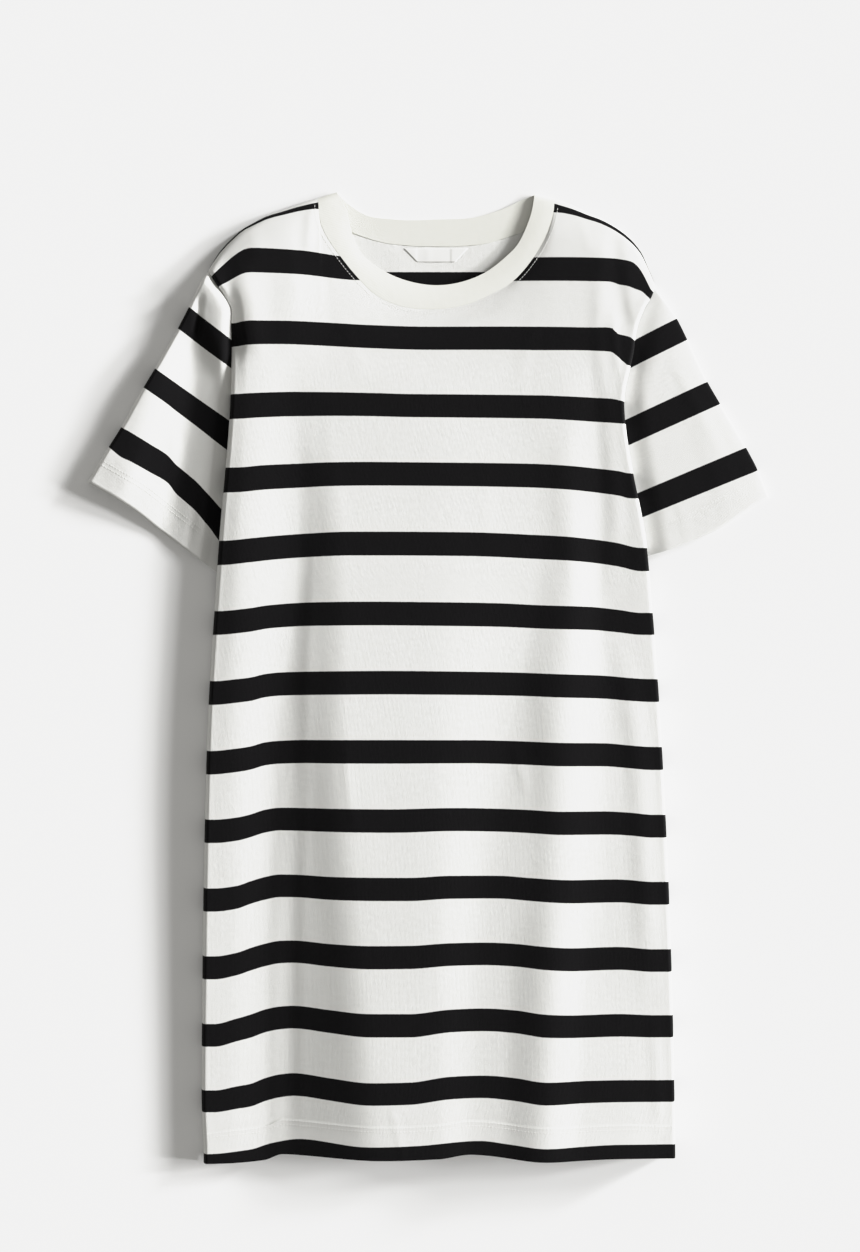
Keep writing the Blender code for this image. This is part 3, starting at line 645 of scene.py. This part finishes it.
def jersey_material():
    """Off-white jersey with black stripes knitted in, a fine stitch relief and a soft nap."""
    n = Nodes("striped_jersey")
    across, level, place = n.knit()
    fuzz = n.math("MULTIPLY", n.math("SUBTRACT", n.noise(place, FUZZ_SCALE), 0.5), STRIPE_FUZZ)
    below_top = n.math("SUBTRACT", STRIPE_TOP, n.math("ADD", level, fuzz))
    in_repeat = n.math("WRAP", below_top, STRIPE_PITCH, 0.0)
    upper = n.ramp(in_repeat, 0.0, STRIPE_SOFTNESS)
    lower = n.ramp(in_repeat, STRIPE_WIDTH + STRIPE_SOFTNESS / 2, STRIPE_WIDTH - STRIPE_SOFTNESS / 2)
    stripe = n.math("MULTIPLY", upper, lower)
    clouds = n.noise(place, CLOUD_SCALE, detail=3.0)
    flecks = n.noise(place, FLECK_SCALE)
    white = n.mix(clouds, WHITE, WHITE_CLOUD)
    white = n.mix(n.math("MULTIPLY", flecks, WHITE_FLECKS), white, WHITE_FLECK)
    black = n.mix(n.math("MULTIPLY", flecks, BLACK_FLECKS), BLACK, BLACK_FLECK)
    n.join(n.mix(stripe, white, black), n.shader.inputs["Base Color"])
    wale = n.wave(across, WALE)
    lean = n.math("MULTIPLY", n.math("ABSOLUTE", wale), STITCH_LEAN)
    course = n.wave(n.math("ADD", level, lean), COURSE)
    stitches = n.math("MULTIPLY_ADD", wale, WALE_SHARE, n.math("MULTIPLY", course, COURSE_SHARE))
    creped = n.noise(place, RELIEF_SCALE, detail=3.0)
    n.bump(n.math("MULTIPLY_ADD", creped, UNEVENNESS, stitches), KNIT_DEPTH)
    n.finish(roughness=0.95, sheen=0.03)
    return n.material


def rib_material():
    """Off-white one-by-one rib, its ribs running across the band."""
    n = Nodes("rib")
    across, level, place = n.knit()
    flecks = n.noise(place, FLECK_SCALE)
    clouds = n.noise(place, RIB_CLOUD_SCALE)
    colour = n.mix(clouds, RIB_WHITE, RIB_CLOUD)
    colour = n.mix(n.math("MULTIPLY", flecks, RIB_FLECKS), colour, RIB_FLECK)
    n.join(colour, n.shader.inputs["Base Color"])
    course = n.math("MULTIPLY", n.wave(level, RIB_COURSE), RIB_COURSE_SHARE)
    stitches = n.math("ADD", n.wave(across, RIB_PITCH), course)
    creped = n.noise(place, RELIEF_SCALE, detail=3.0)
    n.bump(n.math("MULTIPLY_ADD", creped, RIB_UNEVENNESS, stitches), RIB_DEPTH)
    n.finish(roughness=0.93, sheen=0.04)
    return n.material


def plain_material(name, colour, darker, scale, roughness, depth):
    """One colour with a fine grain, for thread, tape and floor."""
    n = Nodes(name)
    _, _, place = n.knit()
    grain = n.noise(place, scale, detail=3.0)
    n.join(n.mix(grain, colour, darker), n.shader.inputs["Base Color"])
    n.bump(grain, depth)
    n.finish(roughness, sheen=0.0)
    return n.material


# Front panel

FRONT_STEPS = (20, 10, 12, 20, 22, 16, 20, 14, 18)  # columns from each fold line on
LEFT_NECK_LINE = 3      # fold lines that run up to the ends of the neck seam
RIGHT_NECK_LINE = 7
BODY_STEP = 3.4         # rows are about this far apart up the body
HEM_STEP = 1.3          # and this far over the hem's height
HEM_END = 39.0
# Where the yoke's rows lie below its top, closer together towards it
YOKE_ROWS = (*range(110, 38, -4), 38.5, 35, 31.5, 28, 25, 22, 19, 16.5, 14, 11.5, 9.5, 7.5, 6, 4.5,
             3.2, 2.2, 1.4, 0.7, 0.25, 0)
NECK_CROWDING = 0.85    # how strongly the neckline's columns are drawn to its corners


def fold_stations():
    """Column positions counted in fold lines, closer together at the two side edges."""
    stations = [0.0]
    for line, steps in enumerate(FRONT_STEPS):
        shares = np.arange(1, steps + 1) / steps
        if line == 0:
            shares = shares ** 2
        if line == len(FRONT_STEPS) - 1:
            shares = 1 - (1 - shares) ** 2
        stations.extend(line + shares)
    return np.array(stations)


def section(level, stations):
    """x, height and droop of the front panel at one level, for each column."""
    cells = np.array(list(SECTIONS.values()), float)
    levels = list(SECTIONS)
    knots = np.array([[eased(levels, cells[:, line, part], level) for part in range(3)]
                      for line in range(len(FOLD_LINES))])
    x = np.interp(stations, np.arange(len(FOLD_LINES)), knots[:, 0])
    return x, eased(knots[:, 0], knots[:, 1], x), eased(knots[:, 0], knots[:, 2], x)


def neck_shares():
    """Shares of the front neckline, closest at its two corners."""
    steps = sum(FRONT_STEPS[LEFT_NECK_LINE:RIGHT_NECK_LINE])
    return crowded(steps + 1, NECK_CROWDING)


def body_levels():
    """Levels of the front's rows below the yoke."""
    hem = np.arange(0, HEM_END, HEM_STEP)
    return np.append(hem, np.linspace(HEM_END, BASE_LEVEL, int((BASE_LEVEL - HEM_END) / BODY_STEP)))


def neck_columns():
    """Columns of the front that run up to the ends of the neck seam."""
    return sum(FRONT_STEPS[:LEFT_NECK_LINE]), sum(FRONT_STEPS[:RIGHT_NECK_LINE])


def front_form():
    """Plan and heights of the front: level sections, then the yoke up to neck and shoulders."""
    stations = fold_stations()
    plan = []
    heights = []
    for level in body_levels():
        x, height, droop = section(level, stations)
        height += HEM_LAYER * (1 - smoothstep((level - HEM_ROWS[1]) / HEM_STEP))
        plan.append(np.stack([x, level - droop], axis=1))
        heights.append(height)
    left, right = neck_columns()
    x = plan[-1][:, 0]
    left_top = along(SHOULDER["left"], (x[:left] - x[0]) / (x[left] - x[0]))
    neck = off_neck(along(NECK["front_seam"], neck_shares()), SEAM_GAP)
    right_top = along(SHOULDER["right"], (x[-1] - x[right + 1:]) / (x[-1] - x[right]))
    top = np.concatenate([left_top, neck, right_top])
    upward = 1 - np.array(YOKE_ROWS) / YOKE_ROWS[0]
    yoke = patch(plan[-1], top, along(ARMHOLE["left"], upward), along(ARMHOLE["right"], upward),
                 stations / stations[-1], upward, reach=NECK_REACH)
    left_heights, right_heights = [
        np.linspace(SHOULDER_TIP[side], NECK_CORNER[side], columns, endpoint=False)
        for side, columns in (("left", left), ("right", len(x) - right - 1))]
    top_heights = np.concatenate([left_heights, neck_height(neck_shares()), right_heights[::-1]])
    share = upward[1:, None]
    yoke_heights = (1 - share) * heights[-1] + share * top_heights
    return np.concatenate([plan, yoke[1:]]), np.concatenate([heights, yoke_heights])


def rim_heights(plan, to_left, to_right, to_shoulder):
    """Height of the front's edges, higher on the sleeves and beside the band."""
    on_sleeve = smoothstep((plan[..., 1] - UNDERARM) / UNDERARM_RISE)
    on_sleeve *= 1 - smoothstep(np.minimum(to_left, to_right) / ON_SLEEVE_WIDTH)
    rim = RIM + (RIM_ON_SLEEVE - RIM) * on_sleeve
    at_tip = smoothstep((plan[..., 1] - TIP_LEVEL) / TIP_RISE) * smoothstep(to_shoulder / TIP_FADE)
    rim += (TIP_RIM - RIM_ON_SLEEVE) * at_tip * (1 - smoothstep(to_left / ON_SLEEVE_WIDTH))
    to_band = np.minimum(*(distance_to(plan, (SHOULDER[side][-1], NECK["front_free"][end]))
                           for side, end in ENDS.items()))
    return rim + (BAND_FOLD - RIM) * (1 - smoothstep(to_band / BAND_BLEND))


def front_grid():
    """Points of the front panel, with its creases and with its edges rounded down."""
    plan, heights = front_form()
    left, right = neck_columns()
    to_left = distance_to(plan, plan[:, 0])
    to_right = distance_to(plan, plan[:, -1])
    to_shoulder = to_shoulder_folds(plan)
    to_shoulder[-1, :left + 1] = 0
    to_shoulder[-1, right:] = 0
    heights += relief(plan, CREASES)
    rim = rim_heights(plan, to_left, to_right, to_shoulder)
    sides = roll(to_left, SIDE_ROLL["left"]) * roll(to_right, SIDE_ROLL["right"])
    z = rim + (over_shoulder(rim, heights, to_shoulder) - rim) * sides
    return np.dstack([plan, z])


def add_front(material):
    grid = front_grid()
    plan = grid[..., :2]
    knit = np.dstack([arc_lengths(grid, 1), knit_level(plan)])
    front = cloth("front_cloth", grid, knit, JERSEY, material)
    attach(front, "root")
    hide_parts("front_panel")
    return front, grid


# Sleeves

SLEEVE_ROWS = 64
SLEEVE_COLUMNS = 90
SLEEVE_CROWDING = 0.985  # how strongly they are drawn to the two folds


def sleeve_grid(side, body_edge):
    """Closed rings of a sleeve from the armhole to the cuff: upper wall, then lower wall."""
    lines = SLEEVES[side]
    outward = -1 if side == "left" else 1
    down = np.linspace(0, 1, SLEEVE_ROWS)
    shares = crowded(SLEEVE_COLUMNS, SLEEVE_CROWDING)
    plan = patch(along(lines["armhole"], shares), along(lines["cuff"], shares),
                 along(lines["outer"], down), along(lines["inner"], down), shares, down)
    width = np.hypot(*np.moveaxis(plan[:, -1] - plan[:, 0], -1, 0))[:, None]
    body_x = np.interp(plan[..., 1], body_edge[:, 1], body_edge[:, 0])
    clear = outward * (plan[..., 0] - body_x)
    rise = 0.0
    for at_armhole, at_cuff, height in SLEEVE_RISES[side]:
        start, end = (np.interp(down, (0, 1), ends)[:, None] for ends in zip(at_armhole, at_cuff))
        rise += eased(*np.transpose(height), down)[:, None] * smoothstep((clear - start) / (end - start))
    rise += relief(plan, SLEEVE_CREASES[side]) * smoothstep(clear / CREASE_CLEARANCE)
    turn = FLOOR_WALL + SLEEVE_TURN
    to_fold = np.minimum(shares, 1 - shares) * width
    upper = turn + (TUCKED - turn) * roll(to_fold, SLEEVE_TURN)
    upper += rise * roll(shares * width, SLEEVE_ROLL[side])
    lower = turn - SLEEVE_TURN * roll(to_fold, SLEEVE_TURN)
    ring = np.concatenate([np.dstack([plan, upper]), np.dstack([plan, lower])[:, -2:0:-1]], axis=1)
    return ring if side == "left" else ring[:, ::-1]


def add_sleeve(side, body_edge, material):
    grid = sleeve_grid(side, body_edge)
    knit = np.dstack([arc_lengths(grid, 1), sleeve_level(grid[..., :2], side)])
    sleeve = cloth("sleeve_cloth_" + side, grid, knit, JERSEY, material, closed=True)
    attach(sleeve, "root")
    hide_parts("sleeve_" + side)
    return sleeve, grid


# Back panel

BACK_SHIFT = 14.0       # the back's stripes sit this much lower than the front's
FACING_UP = 0.9         # the least a normal points up on the upper face
BACK_MESH = 8.0
NECK_MESH = 2.5         # where the back shows inside the neck its mesh is finer
NECK_WINDOW = ((-110, 125), (800, 930))


def add_back(material):
    """The back panel's upper face, cut into a fine grid, with slight waves and its thickness."""
    shape = bmesh.new()
    shape.from_mesh(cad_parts["back_panel"].data)
    bmesh.ops.remove_doubles(shape, verts=shape.verts, dist=1e-6)
    hidden = [face for face in shape.faces if face.normal.z < FACING_UP]
    bmesh.ops.delete(shape, geom=hidden, context="FACES")
    for axis, (low, high) in enumerate(NECK_WINDOW):
        places = [vertex.co[axis] / MM + MIDDLE[axis] for vertex in shape.verts]
        cuts = np.concatenate([np.arange(min(places), low, BACK_MESH)[1:],
                               np.arange(low, min(high, max(places)), NECK_MESH),
                               np.arange(high, max(places), BACK_MESH)])
        normal = Vector((1 - axis, axis, 0))
        for cut in cuts:
            everything = shape.verts[:] + shape.edges[:] + shape.faces[:]
            bmesh.ops.bisect_plane(shape, geom=everything, dist=1e-7, plane_no=normal,
                                   plane_co=normal * (cut - MIDDLE[axis]) * MM)
    mesh = bpy.data.meshes.new("back_cloth")
    shape.to_mesh(mesh)
    shape.free()
    points = np.array([vertex.co for vertex in mesh.vertices])
    plan = points[:, :2] / MM + MIDDLE
    for vertex, wave in zip(mesh.vertices, relief(plan, BACK_CREASES)):
        vertex.co.z = (JERSEY + wave) * MM
    uv = mesh.uv_layers.new(name="knit")
    for loop in mesh.loops:
        x, y = plan[loop.vertex_index]
        uv.data[loop.index].uv = (x * MM, (y + BACK_SHIFT) * MM)
    back = add_piece(mesh, material, JERSEY, offset=-1.0)
    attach(back, "root")
    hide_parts("back_panel")


# Neckband

BAND_COLUMNS = 420
BACK_COLUMNS = 240
# Shares of the band's depth where its rows lie, very close together at its two edges
BAND_SHARES = np.concatenate([(0, 0.006, 0.02), np.linspace(0.06, 0.94, 12), (0.98, 0.994, 1)])


def band_grid():
    front = np.linspace(0, 1, BAND_COLUMNS)
    back = np.linspace(1, 0, BACK_COLUMNS)[1:-1]
    free = np.concatenate([along(NECK["front_free"], front), along(NECK["back_free"], back)])
    seam = np.concatenate([along(NECK["front_seam"], front), along(NECK["back_seam"], back)])
    rows = []
    for share in BAND_SHARES:
        plan = free + (seam - free) * share
        to_fold = to_shoulder_folds(plan[:len(front)])
        to_fold[0] = to_fold[-1] = 0
        lift = BAND_CROWN * math.sin(math.pi * share) - BAND_LEAN * (1 - share)
        height = np.full(len(plan), BACK_BAND)
        height[:len(front)] = over_shoulder(BAND_FOLD, neck_height(front) + lift, to_fold)
        rows.append(np.column_stack([plan, height]))
    return np.array(rows)


def add_band(material):
    grid = band_grid()
    knit = np.dstack([arc_lengths(grid, 1), arc_lengths(grid, 0)])
    band = cloth("neckband_rib", grid, knit, RIB, material, closed=True)
    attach(band, "root")
    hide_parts("neckband")


# Label

LABEL_TOP = ((-25, 873), (36, 873))
LABEL_BOTTOM = ((-12, 860), (24, 860))
LABEL_COLUMNS = 50
LABEL_ROWS = 14
LABEL_THICKNESS = 0.25
LABEL_LIFT = 0.15       # of the tape over the back panel
LABEL_BULGE = 0.2
LABEL_SWAY = 1.25       # heights of the tape over which the bulge would rise and sink again
LABEL_FOLD = 1.2        # width over which a folded end steps up
# Where the folded ends lie on the tape: x of the fold's edge, which way the end goes, its height
LABEL_ENDS = ((-13, -1, 0.2), (20, 1, 0.25))
LABEL_CREASES = ((0.1, 5, 6, ((-4, 856), (-2, 866), (-3, 878))),)


def add_label(material):
    """A blank woven tape, its ends folded over slantwise."""
    down = np.linspace(0, 1, LABEL_ROWS)[:, None, None]
    across = np.linspace(0, 1, LABEL_COLUMNS)[None, :, None]
    left, right = [np.add(np.multiply(top, 1 - down), np.multiply(bottom, down))
                   for top, bottom in zip(LABEL_TOP, LABEL_BOTTOM)]
    plan = left * (1 - across) + right * across
    bulge = np.sin(math.pi * across) * np.sin(math.pi * down / LABEL_SWAY)
    z = JERSEY + LABEL_LIFT + LABEL_BULGE * bulge[..., 0] + relief(plan, LABEL_CREASES)
    for fold, way, height in LABEL_ENDS:
        z += height * smoothstep(way * (plan[..., 0] - fold) / LABEL_FOLD + 0.5)
    label = cloth("label_tape", np.dstack([plan, z]), plan.copy(), LABEL_THICKNESS, material)
    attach(label, "root")
    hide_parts("neck_label")


# Stitches

THREAD_SIDES = 5
ABOVE = 60              # height from which the cloth under a stitch is looked for
AHEAD = 0.1             # how far along the line its direction is taken
HEM_MARGIN = 2          # columns without stitches at the two ends of a row
CUFF_MARGIN = 8
# One stitch: share of its length, share of the thread's width, and height in half widths
STITCH_FORM = ((0.0, 0.5, -0.7), (0.16, 1.0, 0.2), (0.5, 1.0, 0.6), (0.84, 1.0, 0.2),
               (1.0, 0.5, -0.7))


def stitch_line(shape, tree, line):
    """Add stitches along a line in plan, each bedded into the cloth under it."""
    lengths = run_lengths(line)
    for start in np.arange(0, lengths[-1] - STITCH, STITCH_PITCH):
        rings = []
        for share, width, height in STITCH_FORM:
            at = start + share * STITCH
            ahead, behind = between((at + AHEAD, at - AHEAD), lengths, line)
            along_line = Vector((*(ahead - behind), 0)).normalized()
            above = placed((*between(at, lengths, line), ABOVE))
            hit, normal, _, _ = tree.ray_cast(Vector(above), Vector((0, 0, -1)))
            if hit is None:
                break
            aside = along_line.cross(normal).normalized()
            middle = hit + normal * height * THREAD * MM
            ring = []
            for corner in range(THREAD_SIDES):
                turn = 2 * math.pi * corner / THREAD_SIDES
                spoke = aside * math.cos(turn) + normal * math.sin(turn)
                ring.append(shape.verts.new(middle + spoke * width * THREAD * MM))
            rings.append(ring)
        if len(rings) < len(STITCH_FORM):
            continue
        for first, second in zip(rings[:-1], rings[1:]):
            for corner in range(THREAD_SIDES):
                beside = (corner + 1) % THREAD_SIDES
                shape.faces.new((first[corner], first[beside], second[beside], second[corner]))
        shape.faces.new(rings[0][::-1])
        shape.faces.new(rings[-1])


def add_stitches(name, piece, lines, material):
    """One object with the stitches of all the given lines on a piece."""
    tree = BVHTree.FromObject(piece, bpy.context.evaluated_depsgraph_get())
    shape = bmesh.new()
    for line in lines:
        stitch_line(shape, tree, line)
    mesh = bpy.data.meshes.new(name)
    shape.to_mesh(mesh)
    shape.free()
    threads = add_piece(mesh, material)
    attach(threads, "root")


def lines_across(grid, to_edge, distances, margin):
    """Lines across a grid at distances from its edge, where to_edge is each point's distance."""
    columns = range(margin, grid.shape[1] - margin)
    return [np.stack([between(distance, to_edge[:, column], grid[:, column]) for column in columns])
            for distance in distances]


def hem_lines(grid):
    """The twin rows above the front's hem."""
    levels = np.tile(body_levels()[:, None], grid.shape[1])
    return lines_across(grid[:len(levels)], levels, HEM_ROWS, HEM_MARGIN)


def cuff_lines(grid, side):
    """The twin rows above a cuff, on the sleeve's upper wall."""
    upper = grid[::-1, :SLEEVE_COLUMNS] if side == "left" else grid[::-1, -SLEEVE_COLUMNS:]
    return lines_across(upper, arc_lengths(upper, 0), CUFF_ROWS, CUFF_MARGIN)


def neck_line():
    """The single row round the front of the neck, beside the band."""
    seam = along(NECK["front_seam"], np.linspace(*NECK_ROW_SPAN, NECK_ROW_POINTS))
    return [off_neck(seam, NECK_ROW)]


# Stage

FLOOR_SIZE = 9


def add_floor(material):
    bpy.ops.mesh.primitive_plane_add(size=FLOOR_SIZE, location=(0, 0, 0))
    floor = bpy.context.object
    floor.name = "floor"
    floor.data.materials.append(material)
    floor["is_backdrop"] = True


def add_camera():
    data = bpy.data.cameras.new("camera")
    data.lens = LENS
    data.sensor_width = SENSOR
    camera = add_object(data)
    camera.location = Vector(placed((*LOOK_AT, FRAME_HEIGHT * LENS / SENSOR)))
    bpy.context.scene.camera = camera


# Long soft light from the right: (heading up the picture from straight right, height, spread),
# all in degrees, each giving the floor the same light
KEY_LIGHTS = ((7, 21.7, 10), (25.7, 18.5, 9), (-4.2, 16.4, 7), (28.5, 14.1, 6), (10.7, 13, 5))
KEY = 2.88              # what they give the floor together
FILL = 0.36
FILL_COLOUR = (1.0, 0.985, 0.94, 1)
# The camera's response: scene brightness and what it gives, with soft highlights
TONE_RANGE = 1.6
TONE = ((0, 0), (0.30, 0.30), (0.55, 0.54), (0.80, 0.75), (0.93, 0.825), (1.05, 0.868),
        (1.20, 0.890), (1.60, 0.91))


def add_light():
    for number, (heading, height, spread) in enumerate(KEY_LIGHTS):
        heading, height = math.radians(heading), math.radians(height)
        data = bpy.data.lights.new("key_%d" % number, "SUN")
        data.angle = math.radians(spread)
        data.energy = KEY / len(KEY_LIGHTS) / math.sin(height)
        key = add_object(data)
        towards = Vector((math.cos(height) * math.cos(heading),
                          math.cos(height) * math.sin(heading), math.sin(height)))
        key.rotation_euler = towards.to_track_quat("Z", "Y").to_euler()
    world = bpy.data.worlds.new("fill")
    world.use_nodes = True
    sky = world.node_tree.nodes["Background"].inputs
    sky["Color"].default_value = FILL_COLOUR
    sky["Strength"].default_value = FILL
    bpy.context.scene.world = world


def set_tone():
    """Plain colours, with the highlights rolled off as a camera does."""
    view = bpy.context.scene.view_settings
    view.view_transform = "Standard"
    view.look = "None"
    view.use_curve_mapping = True
    mapping = view.curve_mapping
    mapping.white_level = (TONE_RANGE,) * 3
    points = mapping.curves[3].points
    while len(points) < len(TONE):
        points.new(0.5, 0.5)
    for point, (scene_tone, shown) in zip(points, TONE):
        point.location = (scene_tone / TONE_RANGE, shown)
    mapping.update()


def corners():
    low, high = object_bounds()
    return [list(low), list(high)]


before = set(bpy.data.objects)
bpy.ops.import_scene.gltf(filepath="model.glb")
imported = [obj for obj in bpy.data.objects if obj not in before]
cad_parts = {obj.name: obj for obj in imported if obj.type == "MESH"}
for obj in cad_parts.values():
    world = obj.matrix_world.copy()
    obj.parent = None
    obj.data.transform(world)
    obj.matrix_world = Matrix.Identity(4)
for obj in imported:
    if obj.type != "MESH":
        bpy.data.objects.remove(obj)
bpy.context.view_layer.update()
add_camera()
add_light()
set_tone()
jersey = jersey_material()
rib = rib_material()
add_floor(plain_material("floor", FLOOR, FLOOR_GRAIN, scale=3.0, roughness=0.9, depth=0.0))
thread = plain_material("thread", THREAD_WHITE, THREAD_GRAIN, scale=2500.0, roughness=0.8, depth=0.05)
tape = plain_material("label_tape", LABEL_WHITE, LABEL_GRAIN, scale=1800.0, roughness=0.6, depth=0.05)
front, front_points = add_front(jersey)
add_back(jersey)
add_label(tape)
add_band(rib)
add_stitches("front_stitches", front, hem_lines(front_points) + neck_line(), thread)
for side, end in ENDS.items():
    sleeve, sleeve_points = add_sleeve(side, front_points[:, end, :2], jersey)
    add_stitches("cuff_stitches_" + side, sleeve, cuff_lines(sleeve_points, side), thread)
